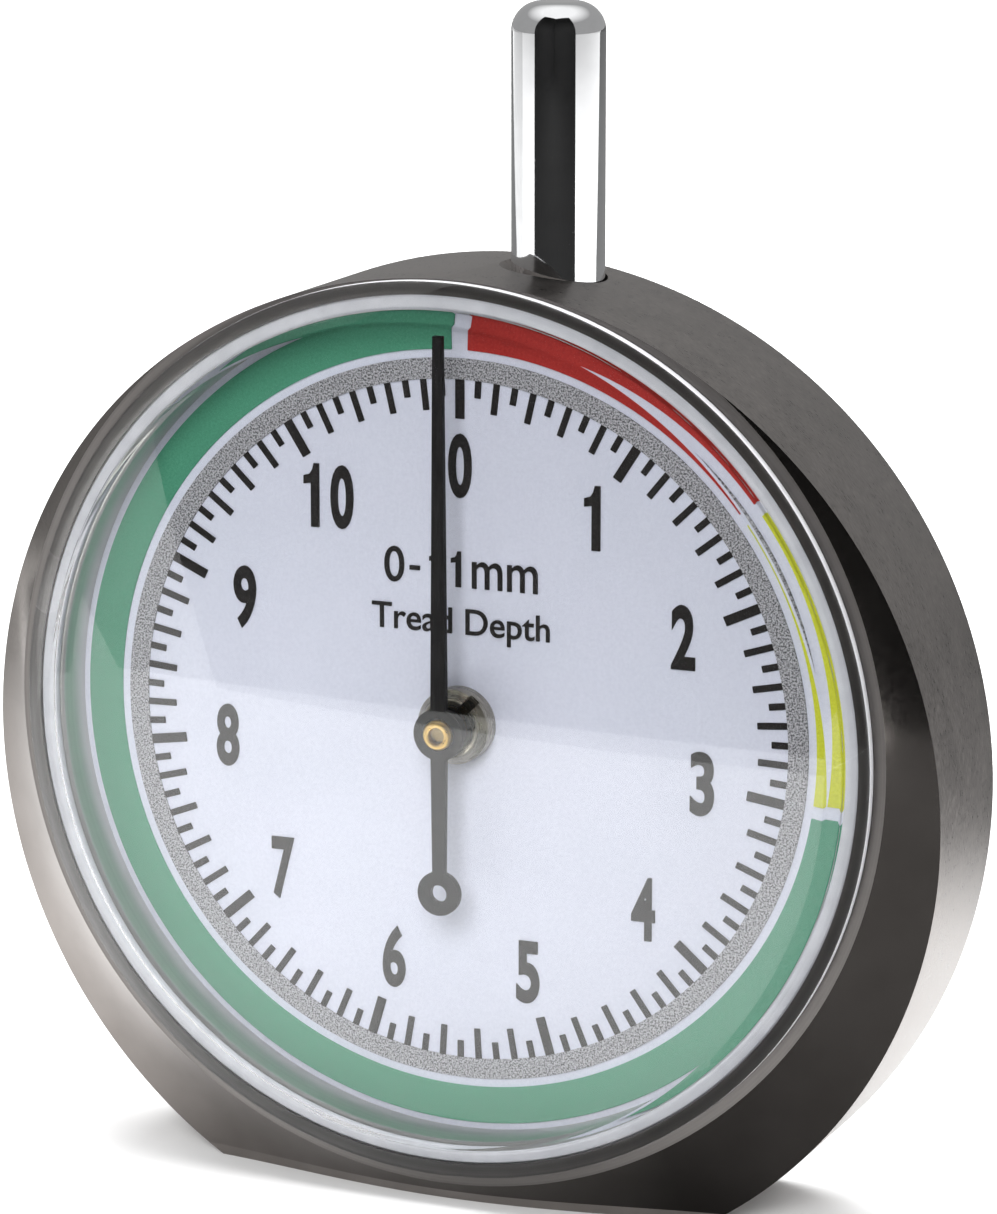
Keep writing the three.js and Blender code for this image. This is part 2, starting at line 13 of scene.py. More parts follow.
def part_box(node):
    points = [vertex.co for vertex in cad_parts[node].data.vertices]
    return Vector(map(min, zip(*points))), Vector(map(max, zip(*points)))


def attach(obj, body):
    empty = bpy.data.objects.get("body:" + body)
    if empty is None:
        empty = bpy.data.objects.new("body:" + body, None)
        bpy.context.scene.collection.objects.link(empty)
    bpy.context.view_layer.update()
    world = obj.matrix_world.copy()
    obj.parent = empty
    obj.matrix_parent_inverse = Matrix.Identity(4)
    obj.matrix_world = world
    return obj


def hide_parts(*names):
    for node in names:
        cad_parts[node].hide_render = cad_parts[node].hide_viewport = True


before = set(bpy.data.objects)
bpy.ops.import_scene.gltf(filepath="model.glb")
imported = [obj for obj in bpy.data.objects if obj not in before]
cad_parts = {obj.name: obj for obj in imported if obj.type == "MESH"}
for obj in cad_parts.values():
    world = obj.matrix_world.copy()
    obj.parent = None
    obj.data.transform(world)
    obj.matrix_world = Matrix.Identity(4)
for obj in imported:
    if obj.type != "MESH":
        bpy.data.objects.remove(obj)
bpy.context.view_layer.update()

bl_info = {
    "name": "Tread Depth Gauge Builder",
    "version": (1, 0, 0),
    "blender": (4, 5, 0),
    "location": "3D View > Sidebar > Gauge",
    "description": "Builds the pieces, finishes and stage of a dial tread depth gauge",
    "category": "Object",
}

MM = 0.001
TAU = 2 * math.pi
PAPER = 0.9  # albedo of the pale floor
ROUND = 256  # steps round the large turned pieces
FACING = Vector((0, 1, 0))  # the dial's axis, pointing into the case
UPRIGHT = Vector((0, 0, 1))


def span(node):
    """Lowest and highest corner of a CAD node."""
    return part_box(node)


def radius(node):
    """Half of a turned CAD node's width."""
    low, high = span(node)
    return (high.x - low.x) / 2


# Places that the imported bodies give.
CRYSTAL_LOW, CRYSTAL_HIGH = span("crystal")
DIAL = Vector((0, 0, (CRYSTAL_LOW.z + CRYSTAL_HIGH.z) / 2))  # the dial's centre, at the depth of the joint
RIM_R = radius("crystal")
CASE_LOW, CASE_HIGH = span("case_body")
BODY_R = radius("case_body")
BODY = Vector((0, 0, CASE_HIGH.z - BODY_R))
RIM_Y = CASE_LOW.y
BODY_BACK = CASE_HIGH.y
DIAL_Y = span("dial_plate")[0].y
BORE_R = radius("rehaut_ring") + 0.05 * MM  # of the case, round the dial
VIEW_R = RIM_R - 1.6 * MM  # of the visible dial
SPINDLE = Vector(((span("plunger")[0].x + span("plunger")[1].x) / 2, 0, 0))
PLUNGER_R = radius("plunger")
BAND = 0.93 * MM  # width of the stippled band outside the ticks
TICK_R = radius("scale_print") - BAND
POINTER_Y = span("pointer")[0].y + 0.15 * MM  # half its thickness in
PRINT_Y = span("scale_print")[0].y
DIVISIONS = 11  # millimetres in one turn of the pointer
LIP = 0.35 * MM  # flat rim left round the crystal
COVE_WIDTH = 5.7 * MM
COVE_DEPTH = 2.5 * MM
CRYSTAL_GAP = 0.03 * MM  # between the crystal and what it rests on
FIT = 0.05 * MM  # clearance between pressed pieces


# ---------------------------------------------------------------- modelling by hand, in code
def clear():
    """Leaves edit mode and selects nothing."""
    if bpy.context.object and bpy.context.object.mode != "OBJECT":
        bpy.ops.object.mode_set(mode="OBJECT")
    bpy.ops.object.select_all(action="DESELECT")


def take(*pieces):
    """Selects these pieces, the first one active."""
    clear()
    for piece in pieces:
        piece.select_set(True)
    bpy.context.view_layer.objects.active = pieces[0]


def named(name):
    """Names the object that was just added, and its mesh."""
    piece = bpy.context.object
    piece.name = name
    piece.data.name = name
    return piece


def select_where(piece, test, kind="FACE"):
    """In edit mode, selects the faces, edges or vertices that pass a test."""
    bpy.ops.mesh.select_mode(type=kind)
    bpy.ops.mesh.select_all(action="DESELECT")
    mesh = bmesh.from_edit_mesh(piece.data)
    parts = {"FACE": mesh.faces, "EDGE": mesh.edges, "VERT": mesh.verts}[kind]
    for part in [p for p in parts if test(p)]:
        part.select_set(True)
    mesh.select_flush_mode()
    bmesh.update_edit_mesh(piece.data)


def editing(piece):
    """Goes into edit mode on a piece, in vertex mode with everything selected."""
    take(piece)
    bpy.ops.object.mode_set(mode="EDIT")
    bpy.ops.mesh.select_mode(type="VERT")
    bpy.ops.mesh.select_all(action="SELECT")


def mend(piece):
    """Merges doubles and turns the faces outwards."""
    editing(piece)
    bpy.ops.mesh.remove_doubles(threshold=2e-7)
    bpy.ops.mesh.dissolve_degenerate(threshold=1e-7)
    bpy.ops.mesh.select_all(action="SELECT")
    bpy.ops.mesh.normals_make_consistent(inside=False)
    bpy.ops.object.mode_set(mode="OBJECT")
    return piece


def trace(name, places):
    """Draws a line from place to place, and leaves it in edit mode with everything selected."""
    clear()
    bpy.ops.mesh.primitive_plane_add(size=MM, location=(0, 0, 0))
    piece = named(name)
    editing(piece)
    bpy.ops.mesh.merge(type="CENTER")
    bpy.ops.transform.translate(value=places[0])
    for here, there in zip(places, places[1:]):
        bpy.ops.mesh.extrude_vertices_move(TRANSFORM_OT_translate={"value": there - here})
    bpy.ops.mesh.select_all(action="SELECT")
    return piece


def lathe(name, profile, centre, axis=FACING, steps=160, closed=False, angle=TAU, start=0.0):
    """Draws a profile of (radius, along) points and spins it about an axis through centre."""
    aside = Vector((0, 0, 1)) if axis is FACING else Vector((1, 0, 0))
    aside = Matrix.Rotation(start, 3, axis) @ aside
    places = [centre + aside * r + axis * a for r, a in profile]
    piece = trace(name, places + places[:1] if closed else places)
    if closed:
        bpy.ops.mesh.remove_doubles(threshold=1e-7)
    if angle < TAU:
        bpy.ops.mesh.edge_face_add()
    bpy.ops.mesh.spin(steps=steps, angle=angle, center=centre, axis=-axis)
    bpy.ops.object.mode_set(mode="OBJECT")
    return mend(piece)


def soften(piece, width, segments=2, angle=35):
    """Breaks the sharp edges with a small bevel."""
    take(piece)
    bevel = piece.modifiers.new("Soft edges", "BEVEL")
    bevel.width = width
    bevel.segments = segments
    bevel.limit_method = "ANGLE"
    bevel.angle_limit = math.radians(angle)
    bevel.use_clamp_overlap = True
    bpy.ops.object.modifier_apply(modifier=bevel.name)


def smooth(piece, angle=32):
    """Shades the piece smooth up to an angle in degrees."""
    take(piece)
    bpy.ops.object.shade_smooth_by_angle(angle=math.radians(angle))


def combine(piece, other, operation="DIFFERENCE"):
    """A boolean of two pieces, which uses the other up."""
    take(piece)
    cut = piece.modifiers.new("Cut", "BOOLEAN")
    cut.operation = operation
    cut.object = other
    cut.solver = "EXACT"
    bpy.ops.object.modifier_apply(modifier=cut.name)
    bpy.data.objects.remove(other)


def settle(piece):
    """Puts the piece's place into its mesh."""
    take(piece)
    bpy.ops.object.transform_apply(location=True, rotation=True, scale=True)
    return piece


def block(name, low, high):
    """A box between two corners."""
    clear()
    low, high = Vector(low), Vector(high)
    bpy.ops.mesh.primitive_cube_add(size=1, location=(low + high) / 2, scale=high - low)
    return settle(named(name))


def outline(name, points):
    """Draws a closed outline through points and fills it with one face."""
    places = [Vector(point) for point in points]
    piece = trace(name, places + places[:1])
    bpy.ops.mesh.remove_doubles(threshold=1e-6)
    bpy.ops.mesh.edge_face_add()
    bpy.ops.object.mode_set(mode="OBJECT")
    return piece


def joined(name, pieces):
    """Joins pieces into one."""
    take(*pieces)
    bpy.ops.object.join()
    return named(name)


def disc(name, r, y0, y1, centre, steps=64):
    """A cylinder along the dial's axis."""
    clear()
    bpy.ops.mesh.primitive_cylinder_add(
        vertices=steps, radius=r, depth=y1 - y0,
        location=centre + FACING * (y0 + y1) / 2, rotation=(math.pi / 2, 0, 0),
    )
    return settle(named(name))


def paint(piece, finish, test=None):
    """Gives the piece, or the faces that pass a test, a finish."""
    if finish.name not in piece.data.materials:
        piece.data.materials.append(finish)
    if test is None:
        return
    take(piece)
    bpy.ops.object.mode_set(mode="EDIT")
    select_where(piece, test)
    piece.active_material_index = piece.data.materials.find(finish.name)
    bpy.ops.object.material_slot_assign()
    bpy.ops.object.mode_set(mode="OBJECT")


def hand_over(piece, body, slot, *nodes):
    """Fixes a finished piece to its body, in place of CAD nodes."""
    clear()
    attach(piece, body)
    if nodes:
        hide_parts(*nodes)


def complete(piece, look, body, slot, *nodes, edge=0.0, segments=2, sharp=35, shade=32):
    """Breaks the edges, shades and paints a piece all over, and hands it over."""
    if edge:
        soften(piece, edge, segments, sharp)
    smooth(piece, shade)
    paint(piece, finish(look))
    hand_over(piece, body, slot, *nodes)


# ---------------------------------------------------------------- finishes
class Finish:
    """A material's node tree, wired up step by step."""

    def __init__(self, name, **values):
        self.material = bpy.data.materials.new(name)
        self.material.use_nodes = True
        self.tree = self.material.node_tree
        self.shader = self.tree.nodes["Principled BSDF"]
        for key, value in values.items():
            self.shader.inputs[key.replace("_", " ")].default_value = value
        self.place = self.add("ShaderNodeTexCoord").outputs["Object"]

    def add(self, kind, **settings):
        node = self.tree.nodes.new(kind)
        for key, value in settings.items():
            setattr(node, key, value)
        return node

    def wire(self, source, target):
        self.tree.links.new(source, target)

    def stretched(self, scale):
        mapping = self.add("ShaderNodeMapping")
        mapping.inputs["Scale"].default_value = scale
        self.wire(self.place, mapping.inputs["Vector"])
        return mapping.outputs["Vector"]

    def round_about(self, centre, along=(0, 1, 0)):
        """(angle, distance along the axis, radius) about an axis along Y or Z through centre."""
        moved = self.add("ShaderNodeVectorMath", operation="SUBTRACT")
        self.wire(self.place, moved.inputs[0])
        moved.inputs[1].default_value = centre
        parts = self.add("ShaderNodeSeparateXYZ")
        self.wire(moved.outputs[0], parts.inputs[0])
        a, b, axis = ("X", "Z", "Y") if along[1] else ("X", "Y", "Z")
        turn = self.add("ShaderNodeMath", operation="ARCTAN2")
        self.wire(parts.outputs[a], turn.inputs[0])
        self.wire(parts.outputs[b], turn.inputs[1])
        flat = self.add("ShaderNodeCombineXYZ")
        self.wire(parts.outputs[a], flat.inputs[0])
        self.wire(parts.outputs[b], flat.inputs[1])
        far = self.add("ShaderNodeVectorMath", operation="LENGTH")
        self.wire(flat.outputs[0], far.inputs[0])
        both = self.add("ShaderNodeCombineXYZ")
        self.wire(turn.outputs[0], both.inputs[0])
        self.wire(parts.outputs[axis], both.inputs[1])
        self.wire(far.outputs["Value"], both.inputs[2])
        return both.outputs[0]

    def scaled(self, vector, scale):
        times = self.add("ShaderNodeVectorMath", operation="MULTIPLY")
        self.wire(vector, times.inputs[0])
        times.inputs[1].default_value = scale
        return times.outputs[0]

    def noise(self, vector, detail=3.0, roughness=0.55):
        noise = self.add("ShaderNodeTexNoise")
        for key, number in (("Scale", 1.0), ("Detail", detail), ("Roughness", roughness)):
            noise.inputs[key].default_value = number
        self.wire(vector, noise.inputs["Vector"])
        return noise.outputs["Fac"]

    def mapped(self, value, low, high, start=0.3, end=0.7):
        spread = self.add("ShaderNodeMapRange")
        for key, number in (("From Min", start), ("From Max", end), ("To Min", low), ("To Max", high)):
            spread.inputs[key].default_value = number
        self.wire(value, spread.inputs["Value"])
        return spread.outputs["Result"]

    def tint(self, value, dark, light, start=0.3, end=0.7):
        """Base colour that runs between two colours with a pattern."""
        ramp = self.add("ShaderNodeValToRGB")
        for stop, position, colour in zip(ramp.color_ramp.elements, (start, end), (dark, light)):
            stop.position = position
            stop.color = (*colour, 1)
        self.wire(value, ramp.inputs["Fac"])
        self.wire(ramp.outputs["Color"], self.shader.inputs["Base Color"])

    def rough(self, value, low, high, start=0.3, end=0.7):
        self.wire(self.mapped(value, low, high, start, end), self.shader.inputs["Roughness"])

    def bump(self, value, depth, strength=1.0):
        bump = self.add("ShaderNodeBump")
        bump.inputs["Strength"].default_value = strength
        bump.inputs["Distance"].default_value = depth
        self.wire(value, bump.inputs["Height"])
        self.wire(bump.outputs["Normal"], self.shader.inputs["Normal"])


FINISHES = {}


def finish(name):
    """The finish of that name, made the first time it is asked for."""
    if name not in FINISHES:
        FINISHES[name] = MAKERS[name]()
    return FINISHES[name]


def brushed_case():
    """Black nickel brushed round the side of the case."""
    f = Finish("Brushed black nickel", Metallic=1.0)
    lines = f.noise(f.scaled(f.round_about(BODY), (60.0, 11000, 0)), 3, 0.6)
    cloud = f.noise(f.stretched((420, 700, 420)), 3, 0.6)
    both = f.add("ShaderNodeMath", operation="ADD")
    f.wire(lines, both.inputs[0])
    f.wire(f.mapped(cloud, -0.07, 0.07), both.inputs[1])
    f.tint(both.outputs[0], (0.17, 0.156, 0.148), (0.37, 0.343, 0.328))
    f.rough(both.outputs[0], 0.26, 0.46)
    f.bump(lines, 0.02 * MM, 0.6)
    return f.material


def polished_case():
    """Black nickel polished on the cove."""
    f = Finish("Polished black nickel", Metallic=1.0)
    grain = f.noise(f.stretched((4000, 4000, 4000)))
    cloud = f.noise(f.stretched((300, 300, 300)))
    f.tint(cloud, (0.20, 0.182, 0.17), (0.24, 0.22, 0.207))
    f.rough(grain, 0.13, 0.2)
    f.bump(grain, 0.002 * MM, 0.25)
    return f.material


def satin_case():
    """Black nickel over the turned inside and the back of the case."""
    f = Finish("Turned black nickel", Metallic=1.0)
    rings = f.noise(f.scaled(f.round_about(DIAL), (0, 2000, 7000)), 2)
    f.tint(rings, (0.11, 0.10, 0.095), (0.17, 0.155, 0.145))
    f.rough(rings, 0.30, 0.45)
    f.bump(rings, 0.006 * MM, 0.4)
    return f.material


def cover_nickel():
    """The back cover's turned finish: fine rings with a soft cloud."""
    f = Finish("Back cover black nickel", Metallic=1.0)
    rings = f.noise(f.scaled(f.round_about(DIAL), (0, 0, 6500)))
    cloud = f.noise(f.stretched((150, 150, 150)))
    f.tint(cloud, (0.19, 0.175, 0.165), (0.25, 0.23, 0.215))
    f.rough(rings, 0.22, 0.36)
    f.bump(rings, 0.008 * MM, 0.5)
    return f.material


def acrylic():
    """Clear cast acrylic that lets lamps through to the dial."""
    f = Finish("Clear acrylic", IOR=1.49, Transmission_Weight=1.0, Roughness=0.0)
    haze = f.noise(f.stretched((220, 220, 220)))
    f.tint(haze, (0.975, 0.985, 0.98), (1.0, 1.0, 1.0))
    f.rough(haze, 0.0, 0.012, 0.35, 0.75)
    clear_ray = f.add("ShaderNodeBsdfTransparent")
    rays = f.add("ShaderNodeLightPath")
    mix = f.add("ShaderNodeMixShader")
    f.wire(rays.outputs["Is Shadow Ray"], mix.inputs[0])
    f.wire(f.shader.outputs[0], mix.inputs[1])
    f.wire(clear_ray.outputs[0], mix.inputs[2])
    f.wire(mix.outputs[0], f.tree.nodes["Material Output"].inputs["Surface"])
    return f.material


def rim_highlight_edge():
    """The crystal's turned outer edge: rough, and whitish as a painted highlight along the rim."""
    f = Finish("Acrylic rim with painted highlight", IOR=1.49, Transmission_Weight=0.25, Specular_IOR_Level=0.5)
    lines = f.noise(f.scaled(f.round_about(DIAL), (30.0, 9000, 0)))
    f.tint(lines, (0.62, 0.62, 0.64), (0.74, 0.74, 0.76))
    f.rough(lines, 0.35, 0.55)
    f.bump(lines, 0.004 * MM, 0.4)
    return f.material


def plain_metal(name, dark, light, low, high, centre=None, depth=0.004):
    """Turned metal, with fine rings about centre's axis, or a cloudy cast one."""
    f = Finish(name, Metallic=1.0)
    if centre is None:
        lines = f.noise(f.stretched((4000 / 3, 4000 / 3, 4000)))
    else:
        place, along, scale = centre
        lines = f.noise(f.scaled(f.round_about(place, along), scale))
    f.tint(lines, dark, light)
    f.rough(lines, low, high)
    f.bump(lines, depth * MM, 0.4)
    return f.material


def ink(name, dark, light, scale=9000, start=0.3, end=0.7):
    """A printed layer: the colour breaks up a little with the grain of the print."""
    f = Finish(name, Specular_IOR_Level=0.15)
    grain = f.noise(f.stretched((scale, scale, scale)), 2, 0.6)
    f.tint(grain, dark, light, start, end)
    f.rough(grain, 0.42, 0.6)
    f.bump(grain, 0.003 * MM, 0.3)
    return f.material


def dial_white():
    """The dial's white lacquer: a faint lilac tint, cloudy and finely grained."""
    f = Finish("Dial white lacquer", Specular_IOR_Level=0.45, Coat_Weight=0.15, Coat_Roughness=0.2)
    grain = f.noise(f.stretched((7000, 7000, 7000)), 2)
    cloud = f.noise(f.stretched((120, 120, 120)), 2)
    both = f.add("ShaderNodeMath", operation="ADD")
    f.wire(grain, both.inputs[0])
    f.wire(f.mapped(cloud, -0.1, 0.1), both.inputs[1])
    f.tint(both.outputs[0], (0.63, 0.652, 0.765), (0.69, 0.712, 0.825))
    f.rough(grain, 0.38, 0.5)
    f.bump(grain, 0.002 * MM, 0.25)
    return f.material


def gasket_nylon():
    """Moulded white nylon, a little cloudy."""
    f = Finish("White nylon", Specular_IOR_Level=0.4)
    cloud = f.noise(f.stretched((900, 900, 900)))
    f.tint(cloud, (0.50, 0.51, 0.55), (0.58, 0.59, 0.63))
    f.rough(cloud, 0.45, 0.62)
    f.bump(cloud, 0.01 * MM, 0.3)
    return f.material


def pointer_black():
    """Satin black paint with a grain along the blade."""
    f = Finish("Pointer satin black", Specular_IOR_Level=0.06)
    grain = f.noise(f.stretched((9000, 9000, 700)))
    f.tint(grain, (0.010, 0.010, 0.010), (0.022, 0.021, 0.021))
    f.rough(grain, 0.30, 0.48)
    f.bump(grain, 0.004 * MM, 0.4)
    return f.material


ABOUT_Y = (0, 1, 0)
ABOUT_Z = (0, 0, 1)
MAKERS = {
    "brushed": brushed_case,
    "polished": polished_case,
    "satin": satin_case,
    "cover": cover_nickel,
    "acrylic": acrylic,
    "rim_highlight": rim_highlight_edge,
    "nylon": gasket_nylon,
    "silver": lambda: plain_metal(
        "Silver ring", (0.50, 0.50, 0.475), (0.62, 0.62, 0.59), 0.30, 0.42, (DIAL, ABOUT_Y, (0, 3000, 9000))),
    "chrome": lambda: plain_metal(
        "Mirror chrome", (0.76, 0.765, 0.775), (0.82, 0.825, 0.835), 0.025, 0.06,
        (SPINDLE, ABOUT_Z, (1.5, 900, 0)), depth=0.0006),
    "steel": lambda: plain_metal(
        "Ground steel", (0.46, 0.46, 0.47), (0.60, 0.60, 0.61), 0.22, 0.34, depth=0.003),
    # The front bush's nickel, its colour darkened as painted shade.
    "nickel_and_shade": lambda: plain_metal(
        "Nickel bush with painted shade", (0.30, 0.275, 0.22), (0.44, 0.41, 0.34), 0.22, 0.34,
        (DIAL, ABOUT_Y, (1.0, 8000, 8000))),
    "pivot": lambda: plain_metal("Bronzed steel pivot", (0.30, 0.22, 0.11), (0.42, 0.32, 0.17), 0.3, 0.42),
    "brass": lambda: plain_metal("Turned brass", (0.62, 0.42, 0.14), (0.80, 0.60, 0.26), 0.20, 0.36),
    "hub_brass": lambda: plain_metal(
        "Collet brass", (0.52, 0.33, 0.09), (0.72, 0.50, 0.18), 0.26, 0.4,
        (DIAL, ABOUT_Y, (1.0, 9000, 9000))),
    "spring": lambda: plain_metal("Spring steel", (0.34, 0.34, 0.35), (0.48, 0.48, 0.49), 0.24, 0.38),
    "seat": lambda: plain_metal(
        "Crystal seat", (0.17, 0.159, 0.152), (0.25, 0.235, 0.225), 0.4, 0.55,
        (DIAL, ABOUT_Y, (0, 3000, 6000))),
    "dial": dial_white,
    "black": lambda: ink("Black print", (0.011, 0.010, 0.010), (0.030, 0.027, 0.026)),
    "band": lambda: ink(
        "Stippled grey print", (0.07, 0.07, 0.075), (0.50, 0.50, 0.53), scale=12000, start=0.38, end=0.6),
    "red": lambda: ink("Red print", (0.36, 0.026, 0.022), (0.47, 0.040, 0.034)),
    "yellow": lambda: ink("Yellow print", (0.52, 0.55, 0.035), (0.66, 0.69, 0.06)),
    "green": lambda: ink("Green print", (0.06, 0.245, 0.15), (0.085, 0.31, 0.2)),
    "pointer": pointer_black,
}


# ---------------------------------------------------------------- what a user may change
def length(name, millimetres, description):
    """A size that a user may change."""
    return bpy.props.FloatProperty(
        name=name, description=description, default=millimetres * MM, unit="LENGTH")


class GaugeSizes(bpy.types.PropertyGroup):
    """Sizes of the details that the pieces carry."""

    major_tick: length("Major tick", 1.76, "Depth of the numbered ticks")
    even_tick: length("Even tick", 1.4, "Depth of the even tenths")
    odd_tick: length("Odd tick", 0.78, "Depth of the odd tenths")
    number_height: length("Number height", 2.9, "Height of the dial's numbers")
    digit_width: length("Digit width", 1.12, "Width of one digit")
    weight: bpy.props.FloatProperty(
        name="Weight", default=0.03,
        description="How much the numbers are thickened, as a share of their size")
    number_radius: length("Number radius", 11.67, "Distance of the numbers from the centre")
    edge: length("Edge", 0.06, "Width of the small bevels on metal edges")
    crystal_edge: length("Crystal edge", 0.09, "Width of the bevels on the crystal")


class GaugeLight(bpy.types.PropertyGroup):
    """Strength of the studio light."""

    top: bpy.props.FloatProperty(
        name="Top light", description="Power of the overhead light", default=11.5, unit="POWER")
    front: bpy.props.FloatProperty(
        name="Front light", description="Power of the front light", default=5.5, unit="POWER")
    room: bpy.props.FloatProperty(name="Room", description="Brightness of the room", default=0.6, min=0)
    mirrored: bpy.props.FloatProperty(
        name="Mirrored room", description="Brightness of the room in reflections", default=0.38, min=0)
    paper: bpy.props.FloatVectorProperty(
        name="Paper", description="Colour of the pale floor", default=(PAPER,) * 3, size=3, subtype="COLOR")


def sizes():
    return bpy.context.scene.gauge_sizes


# ---------------------------------------------------------------- pieces
def on_dial(r, turn):
    """A point of the dial: radius and angle clockwise from the top, in turns."""
    return Vector((r * math.sin(TAU * turn), 0, DIAL.z + r * math.cos(TAU * turn)))


def cove(r):
    """Depth of the case's front at a radius about the dial's axis."""
    x = max(0.0, (RIM_R + LIP + COVE_WIDTH - r) / MM)
    return RIM_Y + COVE_DEPTH - (0.0905 * x ** 2 - 0.00145 * x ** 3) * MM


class GAUGE_OT_case(bpy.types.Operator):
    """Turn the case, cut its foot, cove, room and bores, and brush its side"""

    bl_idname = "gauge.case"
    bl_label = "Case Body"

    def execute(self, context):
        edge = sizes().edge
        case = disc("Case_Body", BODY_R, RIM_Y, BODY_BACK, BODY, ROUND)
        editing(case)
        bpy.ops.mesh.bisect(
            plane_co=(0, 0, 0), plane_no=(0, 0, -1), use_fill=True, clear_outer=True, threshold=1e-7)
        select_where(case, lambda e: all(abs(v.co.y - BODY_BACK) < 1e-6 for v in e.verts), "EDGE")
        bpy.ops.mesh.bevel(offset=0.5 * MM, segments=3, profile=0.5, affect="EDGES")
        bpy.ops.object.mode_set(mode="OBJECT")
        first, last = RIM_R + LIP, RIM_R + LIP + COVE_WIDTH
        radii = [first + COVE_WIDTH * i / 24 for i in range(25)]
        tool = lathe("Cove tool", [
            *((r, cove(r)) for r in radii), (last + 2 * MM, RIM_Y + COVE_DEPTH),
            (last + 2 * MM, RIM_Y - 3 * MM), (first, RIM_Y - 3 * MM),
        ], DIAL, steps=ROUND, closed=True)
        combine(case, tool)
        plate_back = span("movement_plate")[1].y
        floor = span("back_cover")[0].y - FIT
        step = radius("back_cover") + FIT
        hole = step - 1.5 * MM
        cavity = hole + 3.8 * MM
        room = lathe("Room tool", [
            (0, RIM_Y - 2 * MM), (BORE_R + edge, RIM_Y - 2 * MM), (BORE_R + edge, RIM_Y),
            (BORE_R, RIM_Y + edge), (BORE_R, plate_back), (cavity, plate_back), (cavity, floor),
            (hole, floor), (hole, floor + 0.35 * MM), (step, floor + 0.35 * MM), (step, BODY_BACK - edge),
            (step + edge, BODY_BACK), (step + edge, BODY_BACK + MM), (0, BODY_BACK + MM),
        ], DIAL, steps=ROUND)
        combine(case, room)
        for tool in self.bores():
            combine(case, tool)
        for i in range(3):
            low, high = span("plate_screw_%d" % (i + 1))
            at = Vector(((low.x + high.x) / 2, 0, (low.z + high.z) / 2))
            tool = disc("Screw hole tool", 0.5 * MM, plate_back - 0.3 * MM, plate_back + 2.4 * MM, at, 24)
            combine(case, tool)
        mend(case)
        smooth(case, 24)
        paint(case, finish("satin"))
        paint(case, finish("polished"), lambda f: (
            f.normal.y < -0.2 and f.calc_center_median().y < RIM_Y + 3 * MM))
        paint(case, finish("seat"), lambda f: (
            f.normal.y < -0.99
            and (f.calc_center_median() - DIAL - FACING * RIM_Y).length < RIM_R + 0.02 * MM))
        paint(case, finish("brushed"), self.outside)
        hand_over(case, "housing", "case_black_nickel", "case_body")
        return {"FINISHED"}

    @staticmethod
    def bores():
        """The tools for the plunger's bore in the top and the probe's bore in the foot."""
        bush_low, bush_high = span("upper_bush")
        seat = radius("upper_bush") + FIT
        way = PLUNGER_R + 0.12 * MM
        top = CASE_HIGH.z
        height = BODY.z + math.sqrt(BODY_R ** 2 - SPINDLE.x ** 2)
        yield lathe("Top bore", [
            (0, bush_low.z - 2 * MM), (seat, bush_low.z - 2 * MM), (seat, bush_high.z + FIT),
            (way, bush_high.z + FIT), (way, height - 0.22 * MM), (way + 0.5 * MM, height + 0.28 * MM),
            (way + 0.5 * MM, top + 3 * MM), (0, top + 3 * MM),
        ], SPINDLE, UPRIGHT, 96)
        pin = radius("probe_pin") + 0.3 * MM
        seat = radius("lower_bush") + FIT
        yield lathe("Foot bore", [
            (0, -MM), (pin + 0.3 * MM, -MM), (pin + 0.3 * MM, 0), (pin, 0.25 * MM), (pin, 0.5 * MM),
            (seat, 0.5 * MM), (seat, span("lower_bush")[1].z + 2 * MM), (0, span("lower_bush")[1].z + 2 * MM),
        ], SPINDLE, UPRIGHT, 64)

    @staticmethod
    def outside(face):
        """Whether a face is on the round side or under the foot."""
        middle = face.calc_center_median() - BODY
        far = math.hypot(middle.x, middle.z)
        return (far > BODY_R - 0.3 * MM and abs(face.normal.y) < 0.6) or (
            face.normal.z < -0.9 and middle.z + BODY.z < 0.05 * MM)


class GAUGE_OT_back_cover(bpy.types.Operator):
    """Turn the snap back cover with its step, its shallow dish and the notch that opens it"""

    bl_idname = "gauge.back_cover"
    bl_label = "Back Cover"

    def execute(self, context):
        low, high = span("back_cover")
        r = radius("back_cover")
        inner = r - 1.5 * MM
        cover = lathe("Back_Cover", [
            (0, low.y), (inner, low.y), (inner, low.y + 0.3 * MM), (r, low.y + 0.3 * MM),
            (r, high.y - 0.1 * MM), (r - 0.4 * MM, high.y), (r - 1.3 * MM, high.y),
            (r - 1.5 * MM, high.y - 0.12 * MM), (0, high.y - 0.12 * MM),
        ], DIAL, steps=192)
        tool = block("Notch tool", (-1.5 * MM, high.y - 0.3 * MM, DIAL.z - r - 2 * MM),
                     (1.5 * MM, high.y + MM, DIAL.z - r + 0.6 * MM))
        combine(cover, tool)
        mend(cover)
        complete(cover, "cover", "housing", "cover_black_nickel", "back_cover", edge=0.04 * MM, sharp=30)
        return {"FINISHED"}


